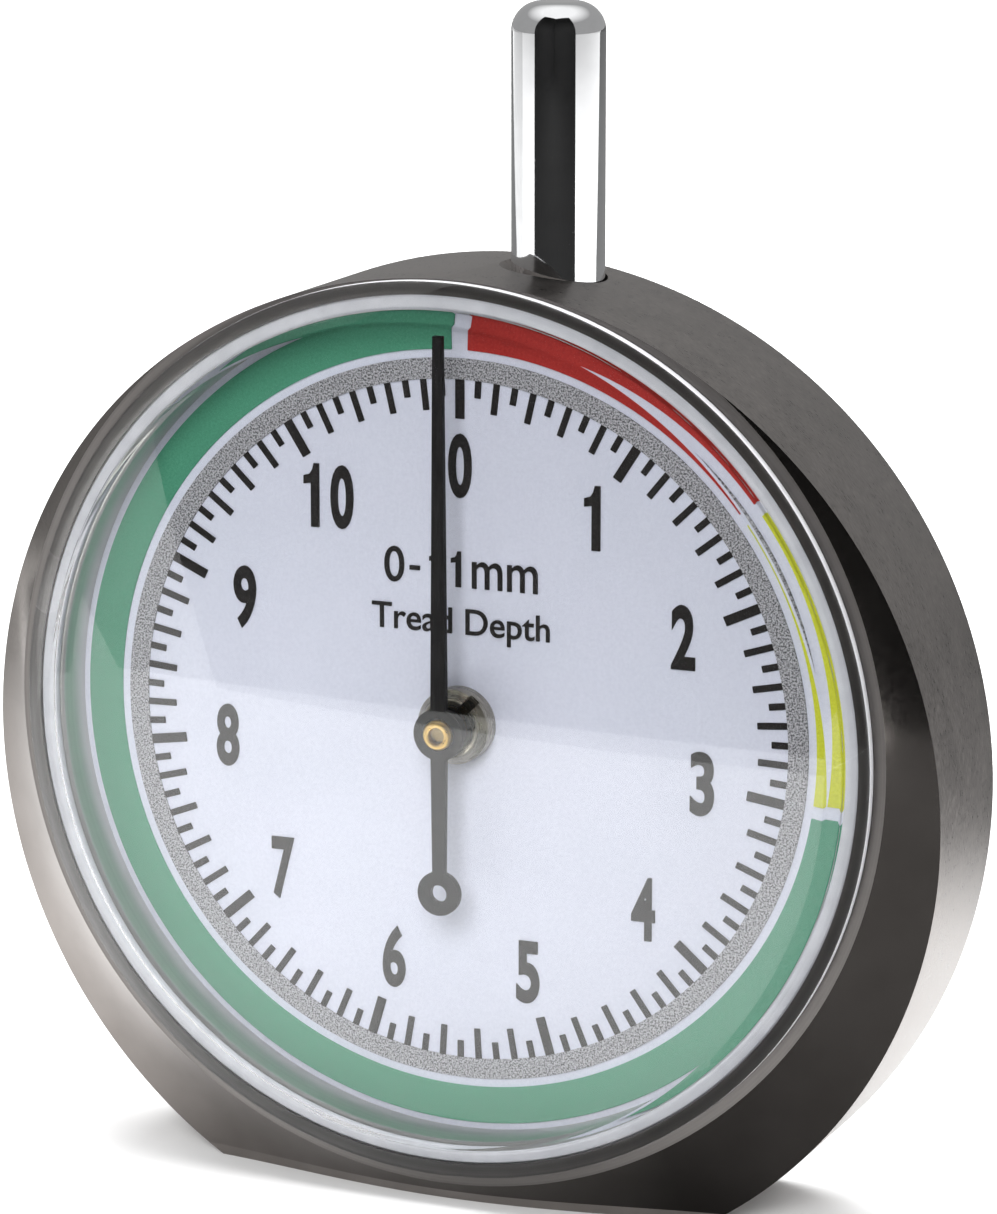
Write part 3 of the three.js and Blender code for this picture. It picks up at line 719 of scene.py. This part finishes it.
class GAUGE_OT_crystal(bpy.types.Operator):
    """Turn the bevelled crystal, paint a highlight on its rough outer edge, and turn the gasket under it"""

    bl_idname = "gauge.crystal"
    bl_label = "Crystal and Gasket"

    def execute(self, context):
        edge = sizes().crystal_edge
        face, under = CRYSTAL_LOW.y, CRYSTAL_LOW.y + 1.4 * MM
        crystal = lathe("Crystal", [
            (0, face), (VIEW_R - 0.15 * MM, face), (VIEW_R, face + 0.04 * MM), (RIM_R, RIM_Y - 0.54 * MM),
            (RIM_R, RIM_Y - CRYSTAL_GAP), (BORE_R - 0.55 * MM, RIM_Y - CRYSTAL_GAP),
            (BORE_R - 0.62 * MM, under), (0, under),
        ], DIAL, steps=ROUND)
        soften(crystal, edge, 3, 20)
        smooth(crystal, 40)
        paint(crystal, finish("acrylic"))
        # Painted highlight: the crystal's outer edge gets a whitish, rough finish.
        paint(crystal, finish("rim_highlight"), lambda f: (
            abs(f.normal.y) < 0.5 and (f.calc_center_median() - DIAL).length > RIM_R - 0.2 * MM))
        hand_over(crystal, "housing", "clear_crystal", "crystal")
        low, high = span("crystal_gasket")
        outer = radius("crystal_gasket")
        inner = outer - 0.56 * MM
        gasket = lathe("Crystal_Gasket", [
            (inner, low.y), (outer, low.y), (outer, high.y), (inner, high.y),
        ], DIAL, steps=ROUND, closed=True)
        complete(
            gasket, "nylon", "housing", "white_nylon", "crystal_gasket", edge=0.08 * MM, segments=3, shade=40)
        return {"FINISHED"}


class GAUGE_OT_dial(bpy.types.Operator):
    """Turn the ring round the dial and the dial plate"""

    bl_idname = "gauge.dial"
    bl_label = "Dial and Ring"

    def execute(self, context):
        low, high = span("rehaut_ring")
        outer = radius("rehaut_ring")
        ring = lathe("Rehaut_Ring", [
            (VIEW_R, low.y + 0.12 * MM), (VIEW_R + 0.12 * MM, low.y), (outer, low.y), (outer, high.y),
            (VIEW_R, high.y), (VIEW_R, low.y + 0.5 * MM),
        ], DIAL, steps=ROUND, closed=True)
        complete(ring, "silver", "housing", "silver_ring", "rehaut_ring", edge=0.03 * MM)
        low, high = span("dial_plate")
        outer = radius("dial_plate")
        hole = 1.55 * MM
        plate = lathe("Dial_Plate", [
            (hole, low.y), (outer, low.y), (outer, high.y), (hole, high.y),
        ], DIAL, steps=192, closed=True)
        complete(plate, "dial", "housing", "dial_white", "dial_plate", edge=0.04 * MM)
        return {"FINISHED"}


def arc_print(name, inner, outer, start, end):
    """A printed arc of the dial, between two angles in divisions."""
    sweep = (end - start) / DIVISIONS
    return lathe(
        name, [(inner, PRINT_Y), (outer, PRINT_Y), (outer, DIAL_Y), (inner, DIAL_Y)], DIAL,
        steps=max(12, round(sweep * ROUND)), closed=True, angle=sweep * TAU, start=TAU * start / DIVISIONS)


class GAUGE_OT_zones(bpy.types.Operator):
    """Print the stippled band and the red, yellow and green arcs"""

    bl_idname = "gauge.zones"
    bl_label = "Coloured Arcs"

    def execute(self, context):
        band = lathe("Scale_Band", [
            (TICK_R, PRINT_Y), (TICK_R + BAND, PRINT_Y), (TICK_R + BAND, DIAL_Y), (TICK_R, DIAL_Y),
        ], DIAL, steps=ROUND, closed=True)
        complete(band, "band", "housing", "print_black", "scale_print")
        inner, outer = TICK_R + 1.32 * MM, TICK_R + 3.0 * MM
        for name, start, end in (("red", 0.04, 1.57), ("yellow", 1.63, 2.97), ("green", 3.03, 10.96)):
            zone = arc_print("Zone_" + name.capitalize(), inner, outer, start, end)
            complete(zone, name, "housing", "print_" + name, "zone_" + name)
        return {"FINISHED"}


def repeat(piece, count, gap):
    """In edit mode, copies what is selected round the dial: count in all, gap divisions apart."""
    if count > 1:
        turn = TAU * gap / DIVISIONS
        bpy.ops.mesh.spin(steps=count - 1, dupli=True, angle=turn * (count - 1), center=DIAL, axis=-FACING)


class GAUGE_OT_ticks(bpy.types.Operator):
    """Print one tick of each length and copy it round the scale"""

    bl_idname = "gauge.ticks"
    bl_label = "Ticks"

    def execute(self, context):
        s = sizes()
        kinds = (("major", s.major_tick, 0.22 * MM, 0.0, 1), ("even", s.even_tick, 0.15 * MM, 0.2, 4),
                 ("odd", s.odd_tick, 0.15 * MM, 0.1, 5))
        made = []
        for name, depth, half, first, count in kinds:
            tick = block("Ticks " + name, (-half, PRINT_Y, DIAL.z + TICK_R - depth),
                         (half, DIAL_Y, DIAL.z + TICK_R + 0.02 * MM))
            soften(tick, 0.02 * MM, 1)
            editing(tick)
            turn = -TAU * first / DIVISIONS
            bpy.ops.transform.rotate(value=turn, orient_axis="Y", center_override=DIAL)
            if name != "major":
                repeat(tick, count, 0.2)
                bpy.ops.mesh.select_all(action="SELECT")
            repeat(tick, DIVISIONS, 1)
            bpy.ops.object.mode_set(mode="OBJECT")
            made.append(tick)
        ticks = joined("Scale_Ticks", made)
        paint(ticks, finish("black"))
        hand_over(ticks, "housing", "print_black", "scale_print")
        return {"FINISHED"}


def lettering(name, text, middle, height, width, weight=0.0):
    """Text as a thin printed relief, with its middle and its size given."""
    clear()
    bpy.ops.object.text_add(location=(0, 0, 0))
    line = bpy.context.object
    line.data.body = text
    line.data.size = 1.0
    line.data.offset = weight
    line.data.resolution_u = 6
    line.data.extrude = 0.01
    bpy.ops.object.convert(target="MESH")
    line = named(name)
    xs, ys, zs = ([v.co[i] for v in line.data.vertices] for i in range(3))
    wanted = zip((width, height, DIAL_Y - PRINT_Y), (xs, ys, zs))
    editing(line)
    bpy.ops.transform.translate(value=(-(max(xs) + min(xs)) / 2, -(max(ys) + min(ys)) / 2, 0))
    bpy.ops.transform.resize(value=[w / (max(a) - min(a)) for w, a in wanted], center_override=(0, 0, 0))
    bpy.ops.object.mode_set(mode="OBJECT")
    line.rotation_euler = (math.pi / 2, 0, 0)
    line.location = (middle.x, (PRINT_Y + DIAL_Y) / 2, middle.z)
    settle(line)
    editing(line)
    bpy.ops.mesh.remove_doubles(threshold=2e-7)
    bpy.ops.object.mode_set(mode="OBJECT")
    return line


ONE = ((1, 0), (1, 1), (0.66, 1), (0.56, 0.90), (0.38, 0.83), (0, 0.80), (0, 0.67), (0.47, 0.69), (0.47, 0))


def figure_one(name, middle, height, width):
    """A figure one with a flag, drawn from listed points and thickened."""
    one = outline(name, [(0.01 * (x - 0.5), PRINT_Y, 0.01 * (z - 0.5)) for x, z in ONE])
    editing(one)
    bpy.ops.mesh.extrude_region_move(TRANSFORM_OT_translate={"value": (0, DIAL_Y - PRINT_Y, 0)})
    bpy.ops.mesh.select_all(action="SELECT")
    bpy.ops.transform.resize(value=(width / 0.01, 1, height / 0.01), center_override=(0, 0, 0))
    bpy.ops.transform.translate(value=(middle.x, 0, middle.z))
    bpy.ops.object.mode_set(mode="OBJECT")
    return mend(one)


class GAUGE_OT_numbers(bpy.types.Operator):
    """Print the dial's numbers, its unit and its caption"""

    bl_idname = "gauge.numbers"
    bl_label = "Numbers"

    def execute(self, context):
        s = sizes()
        made = []
        for i in range(DIVISIONS):
            middle = on_dial(s.number_radius, i / DIVISIONS)
            if i == 1:
                made.append(figure_one("Number 1", middle, s.number_height, s.digit_width * 0.68))
                continue
            if i == 10:
                made.append(figure_one("Number 10 a", middle - Vector((0.84 * s.digit_width, 0, 0)),
                                       s.number_height, s.digit_width * 0.68))
                middle = middle + Vector((0.5 * s.digit_width, 0, 0))
            made.append(lettering(
                "Number %d" % i, str(i % 10), middle, s.number_height, s.digit_width, s.weight))
        numbers = joined("Dial_Numbers", made)
        paint(numbers, finish("black"))
        hand_over(numbers, "housing", "print_black")
        left = DIAL + Vector((-3.7 * MM, 0, 7.0 * MM))
        high = 1.62 * MM
        words = [
            lettering("Zero", "0", left + Vector((0.5 * MM, 0, 0)), high, 0.96 * MM, 0.004),
            lettering("Dash", "-", left + Vector((1.5 * MM, 0, -0.1 * MM)), 0.2 * MM, 0.5 * MM),
            figure_one("First one", left + Vector((2.45 * MM, 0, 0)), high, 0.48 * MM),
            figure_one("Second one", left + Vector((3.5 * MM, 0, 0)), high, 0.48 * MM),
            lettering("Metres", "mm", left + Vector((5.85 * MM, 0, -0.2 * MM)), 1.22 * MM, 3.15 * MM, 0.004),
        ]
        unit = joined("Dial_Unit", words)
        caption = lettering(
            "Dial_Caption", "Tread Depth", DIAL + UPRIGHT * 4.45 * MM, 1.55 * MM, 8.6 * MM, 0.006)
        for line in (unit, caption):
            paint(line, finish("black"))
            hand_over(line, "housing", "print_black")
        return {"FINISHED"}


class GAUGE_OT_pointer(bpy.types.Operator):
    """Shape the pointer's blade, hub, tail and eye, and turn its brass collet"""

    bl_idname = "gauge.pointer"
    bl_label = "Pointer and Collet"

    def execute(self, context):
        half = 0.15 * MM
        tip = TICK_R + 2.33 * MM
        tail = 7.31 * MM
        y0, y1 = POINTER_Y - half, POINTER_Y + half
        blade = block("Pointer", (-0.29 * MM, y0, DIAL.z - tail + 0.6 * MM), (0.29 * MM, y1, DIAL.z))
        editing(blade)
        select_where(blade, lambda f: f.normal.z > 0.9)
        bpy.ops.transform.resize(value=(0.37 / 0.29, 1, 1), center_override=DIAL)
        bpy.ops.mesh.extrude_region_move(TRANSFORM_OT_translate={"value": (0, 0, tip)})
        bpy.ops.transform.resize(value=(0.22 / 0.37, 1, 1), center_override=DIAL)
        bpy.ops.object.mode_set(mode="OBJECT")
        hub = disc("Hub", 1.18 * MM, y0, y1, DIAL, 64)
        combine(blade, hub, "UNION")
        barrel = disc("Barrel", 0.95 * MM, POINTER_Y, POINTER_Y + 0.85 * MM, DIAL, 64)
        combine(blade, barrel, "UNION")
        eye_at = DIAL - UPRIGHT * tail
        combine(blade, disc("Eye", 1.01 * MM, y0, y1, eye_at, 64), "UNION")
        combine(blade, disc("Eye hole", 0.4 * MM, y0 - MM, y1 + MM, eye_at, 48))
        combine(blade, disc("Collet hole", 0.74 * MM, y0 - MM, y1 + 2 * MM, DIAL, 64))
        mend(blade)
        complete(blade, "pointer", "pointer_unit", "pointer_black", "pointer", edge=0.035 * MM)
        low, high = span("pointer_collet")
        collet = lathe("Pointer_Collet", [
            (0.425 * MM, POINTER_Y - 0.1 * MM), (0.425 * MM, high.y), (0.69 * MM, high.y),
            (0.69 * MM, low.y + 0.1 * MM), (0.6 * MM, low.y), (0.37 * MM, low.y),
            (0.34 * MM, POINTER_Y - 0.14 * MM), (0.38 * MM, POINTER_Y - 0.1 * MM),
        ], DIAL, steps=64, closed=True)
        complete(collet, "hub_brass", "pointer_unit", "brass", "pointer_collet", edge=0.03 * MM, sharp=30)
        return {"FINISHED"}


class GAUGE_OT_bush(bpy.types.Operator):
    """Turn the slotted nickel bush that the pointer's arbor runs in"""

    bl_idname = "gauge.bush"
    bl_label = "Front Bush"

    def execute(self, context):
        low, high = span("front_bush")
        r = radius("front_bush")
        bush = lathe("Front_Bush", [
            (0.66 * MM, low.y), (1.3 * MM, low.y), (1.42 * MM, low.y + 0.12 * MM),
            (1.45 * MM, low.y + 0.2 * MM), (r, low.y + 0.42 * MM), (r, DIAL_Y), (1.45 * MM, DIAL_Y),
            (1.45 * MM, high.y), (0.66 * MM, high.y),
        ], DIAL, steps=96, closed=True)
        slot = block(
            "Slot tool", (-0.26 * MM, low.y - MM, DIAL.z), (0.26 * MM, low.y + 0.62 * MM, DIAL.z + 3 * MM))
        editing(slot)
        bpy.ops.transform.rotate(value=math.radians(-38), orient_axis="Y", center_override=DIAL)
        bpy.ops.object.mode_set(mode="OBJECT")
        combine(bush, slot)
        mend(bush)
        # The bush's darker colour is painted shade on nickel.
        complete(bush, "nickel_and_shade", "housing", "steel", "front_bush", edge=0.03 * MM)
        return {"FINISHED"}


class GAUGE_OT_plunger(bpy.types.Operator):
    """Turn the domed plunger, the probe pin and the two bushes they slide in"""

    bl_idname = "gauge.plunger"
    bl_label = "Plunger and Probe"

    def execute(self, context):
        low, high = span("plunger")
        dome = 1.3 * MM
        bend = [i / 12 * math.pi / 2 for i in range(13)]
        plunger = lathe("Plunger", [
            (0, low.z + 3.7 * MM), (1.05 * MM, low.z + 3.7 * MM), (1.05 * MM, low.z),
            (PLUNGER_R - 0.25 * MM, low.z), (PLUNGER_R, low.z + 0.25 * MM),
            *((PLUNGER_R - dome + dome * math.cos(a), high.z - dome + dome * math.sin(a)) for a in bend),
            (0, high.z),
        ], SPINDLE, UPRIGHT, 128)
        complete(plunger, "chrome", "plunger_unit", "chrome", "plunger")
        low, high = span("probe_pin")
        r = radius("probe_pin")
        tip = 0.25 * MM
        pin = lathe("Probe_Pin", [
            (0, low.z), *((r - tip + tip * math.sin(a), low.z + tip - tip * math.cos(a)) for a in bend[::2]),
            (r, high.z - 0.1 * MM), (r - 0.1 * MM, high.z), (0, high.z),
        ], SPINDLE, UPRIGHT, 64)
        complete(pin, "steel", "plunger_unit", "steel", "probe_pin")
        for name, node, bore in (("Upper_Bush", "upper_bush", PLUNGER_R + 0.1 * MM),
                                 ("Lower_Bush", "lower_bush", r + 0.1 * MM)):
            low, high = span(node)
            outer = radius(node)
            bush = lathe(name, [(bore, low.z), (outer, low.z), (outer, high.z), (bore, high.z)],
                         SPINDLE, UPRIGHT, 96, closed=True)
            complete(bush, "brass", "housing", "brass", node, edge=0.08 * MM)
        return {"FINISHED"}


class GAUGE_OT_movement(bpy.types.Operator):
    """Give the movement's carried-over pieces their metals"""

    bl_idname = "gauge.movement"
    bl_label = "Movement Finishes"

    def execute(self, context):
        kinds = {
            "steel": ("plate_screw_1", "plate_screw_2", "plate_screw_3", "cock_screw_upper",
                      "cock_screw_lower", "spindle_rack", "spring_post"),
            "pivot": ("arbor",),
            "brass": ("movement_plate", "pillar_upper", "pillar_lower", "arbor_cock", "rear_bush", "pinion",
                      "spring_arm", "guide_rail"),
            "spring": ("return_spring",),
        }
        for name, nodes in kinds.items():
            for node in nodes:
                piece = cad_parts[node]
                if not piece.material_slots:
                    piece.data.materials.append(finish(name))
                for slot in piece.material_slots:
                    slot.material = finish(name)
        return {"FINISHED"}


class GAUGE_OT_stage(bpy.types.Operator):
    """Lay the pale floor and set the lights and the camera"""

    bl_idname = "gauge.stage"
    bl_label = "Stage"

    def execute(self, context):
        light = context.scene.gauge_light
        clear()
        bpy.ops.mesh.primitive_plane_add(size=4, location=(0, 0, 0))
        floor = named("Floor")
        paper = Finish("Pale paper", Specular_IOR_Level=0.2)
        grain = paper.noise(paper.stretched((300, 300, 300)), 2)
        paper.tint(grain, tuple(c * 0.985 for c in light.paper), tuple(light.paper))
        paper.rough(grain, 0.7, 0.85)
        floor.data.materials.append(paper.material)
        self.dark_cards()
        self.room(light.room, light.mirrored)
        self.lamp("Top light", (0.0, 0.10, 0.75), (0, 0.02, 0), 0.7, light.top)
        self.lamp("Front light", (0.15, -0.75, 0.45), (0, 0, 0.02), 0.4, light.front)
        self.camera(context)
        return {"FINISHED"}

    @staticmethod
    def card(name, height, points, shade, rise=0.0, keep=None, fade=None):
        """A card that only reflections see, level at a height.

        The edges that keep passes are drawn up into a wall. A fade of (axis, from, to, shade) runs the card's
        shade over to another one along X or Y."""
        look = Finish(name + " finish", Specular_IOR_Level=0.0)
        grain = look.noise(look.stretched((50, 50, 50)), 2)
        look.tint(grain, (shade * 0.9,) * 3, (shade * 1.1,) * 3)
        if fade:
            axis, start, end, other = fade
            parts = look.add("ShaderNodeSeparateXYZ")
            look.wire(look.place, parts.inputs[0])
            run = look.mapped(parts.outputs[axis], 0, 1, start, end)
            look.tint(run, (shade,) * 3, (other,) * 3, 0.0, 1.0)
        look.rough(grain, 0.9, 1.0)
        piece = outline(name, [(x, y, height) for x, y in points])
        if rise:
            editing(piece)
            select_where(piece, keep, "EDGE")
            bpy.ops.mesh.extrude_region_move(TRANSFORM_OT_translate={"value": (0, 0, rise)})
            bpy.ops.object.mode_set(mode="OBJECT")
        piece.data.materials.append(look.material)
        piece.visible_camera = False
        piece.visible_diffuse = False
        piece.visible_shadow = False

    def dark_cards(self):
        """Painted shade for reflections only: dark room in front, shades at the foot, left and far left, grey
        behind.
        """
        self.card(
            "Dark room", 0.001,
            [(-0.069, -0.092), (-0.551, -0.709), (0.2, -0.95), (0.812, -0.394), (0.192, -0.092)],
            0.015, 1.6, lambda e: max(v.co.y for v in e.verts) < -0.3)
        self.card(
            "Foot shade", 0.0005,
            [(-0.024, -0.0035), (0.06, -0.003), (0.11, -0.02), (0.165, -0.07), (0.165, -0.092),
             (0.015, -0.092), (0.015, -0.014), (-0.024, -0.014)], PAPER, fade=("X", -0.016, 0.011, 0.1))
        self.card(
            "Left shade", 0.0004, [(-0.26, -0.09), (-0.26, 0.13), (-0.03, 0.03), (-0.03, -0.02)],
            0.36, fade=("X", -0.14, -0.035, PAPER))
        self.card(
            "Grey shade behind", 0.0006, [(-0.3, 0.03), (0.13, 0.03), (0.25, 0.2), (1.2, 1.9), (-1.5, 1.9)],
            PAPER, fade=("Y", 0.03, 0.06, 0.12))
        self.card("Far left shade", 0.0004, [(-1.5, -0.35), (-1.5, 0.7), (-0.27, 0.13), (-0.27, -0.09)], 0.6)

    @staticmethod
    def room(strength, mirrored):
        """A white world for the camera, dimmer for diffuse rays, and dark low down in reflections."""
        world = bpy.data.worlds.new("Studio")
        bpy.context.scene.world = world
        world.use_nodes = True
        tree = world.node_tree
        back = tree.nodes["Background"]
        seen = tree.nodes.new("ShaderNodeBackground")
        gloss = tree.nodes.new("ShaderNodeBackground")
        for shader, power in ((back, strength), (seen, 1.3), (gloss, mirrored)):
            shader.inputs["Color"].default_value = (1, 1, 1, 1)
            shader.inputs["Strength"].default_value = power
        sky = tree.nodes.new("ShaderNodeTexCoord")
        parts = tree.nodes.new("ShaderNodeSeparateXYZ")
        rise = tree.nodes.new("ShaderNodeMapRange")
        for key, value in (("From Min", 0.6), ("From Max", 0.9), ("To Min", mirrored), ("To Max", 1.15)):
            rise.inputs[key].default_value = value
        tree.links.new(sky.outputs["Generated"], parts.inputs[0])
        tree.links.new(parts.outputs["Z"], rise.inputs["Value"])
        tree.links.new(rise.outputs["Result"], gloss.inputs["Strength"])
        rays = tree.nodes.new("ShaderNodeLightPath")
        unseen = tree.nodes.new("ShaderNodeMixShader")
        mix = tree.nodes.new("ShaderNodeMixShader")
        for source, target in (
            (rays.outputs["Is Glossy Ray"], unseen.inputs[0]), (back.outputs[0], unseen.inputs[1]),
            (gloss.outputs[0], unseen.inputs[2]), (rays.outputs["Is Camera Ray"], mix.inputs[0]),
            (unseen.outputs[0], mix.inputs[1]), (seen.outputs[0], mix.inputs[2]),
            (mix.outputs[0], tree.nodes["World Output"].inputs["Surface"]),
        ):
            tree.links.new(source, target)

    @staticmethod
    def lamp(name, place, target, wide, power):
        """A square soft light that reflections don't see."""
        clear()
        bpy.ops.object.light_add(type="AREA", location=place)
        lamp = bpy.context.object
        lamp.name = name
        lamp.data.shape = "SQUARE"
        lamp.data.size = wide
        lamp.data.energy = power
        lamp.rotation_euler = (Vector(target) - Vector(place)).to_track_quat("-Z", "Y").to_euler()
        lamp.visible_camera = False
        lamp.visible_glossy = False
        lamp.visible_transmission = False

    @staticmethod
    def camera(context):
        """The camera, given by its place and its right and back directions."""
        clear()
        bpy.ops.object.camera_add(location=(0.08686, -0.20109, 0.07506))
        camera = bpy.context.object
        camera.name = "Camera"
        right = Vector((0.9185, 0.3954, -0.0005)).normalized()
        back = Vector((0.3862, -0.8967, 0.2161)).normalized()
        up = back.cross(right).normalized()
        right = up.cross(back)
        turned = Matrix((right, up, back)).transposed().to_4x4()
        camera.matrix_world = Matrix.Translation(camera.location) @ turned
        camera.data.lens = 146.2
        camera.data.sensor_width = 36
        camera.data.clip_start = 0.01
        context.scene.camera = camera
        context.scene.view_settings.view_transform = "Standard"


OPERATORS = (
    GAUGE_OT_case, GAUGE_OT_back_cover, GAUGE_OT_crystal, GAUGE_OT_dial, GAUGE_OT_zones, GAUGE_OT_ticks,
    GAUGE_OT_numbers, GAUGE_OT_pointer, GAUGE_OT_bush, GAUGE_OT_plunger, GAUGE_OT_movement, GAUGE_OT_stage,
)


class GAUGE_PT_panel(bpy.types.Panel):
    """The gauge's pieces, in the order they are built"""

    bl_idname = "GAUGE_PT_panel"
    bl_label = "Tread Depth Gauge"
    bl_space_type = "VIEW_3D"
    bl_region_type = "UI"
    bl_category = "Gauge"

    def draw(self, context):
        for group in (context.scene.gauge_sizes, context.scene.gauge_light):
            for name in group.bl_rna.properties.keys():
                if name not in ("rna_type", "name"):
                    self.layout.prop(group, name)
        for operator in OPERATORS:
            self.layout.operator(operator.bl_idname)


CLASSES = (GaugeSizes, GaugeLight, *OPERATORS, GAUGE_PT_panel)


def register():
    for kind in CLASSES:
        bpy.utils.register_class(kind)
    bpy.types.Scene.gauge_sizes = bpy.props.PointerProperty(type=GaugeSizes)
    bpy.types.Scene.gauge_light = bpy.props.PointerProperty(type=GaugeLight)


def unregister():
    del bpy.types.Scene.gauge_light
    del bpy.types.Scene.gauge_sizes
    for kind in reversed(CLASSES):
        bpy.utils.unregister_class(kind)


def main():
    register()
    for operator in OPERATORS:
        group, name = operator.bl_idname.split(".")
        getattr(getattr(bpy.ops, group), name)()
    clear()


if __name__ == "__main__":
    main()
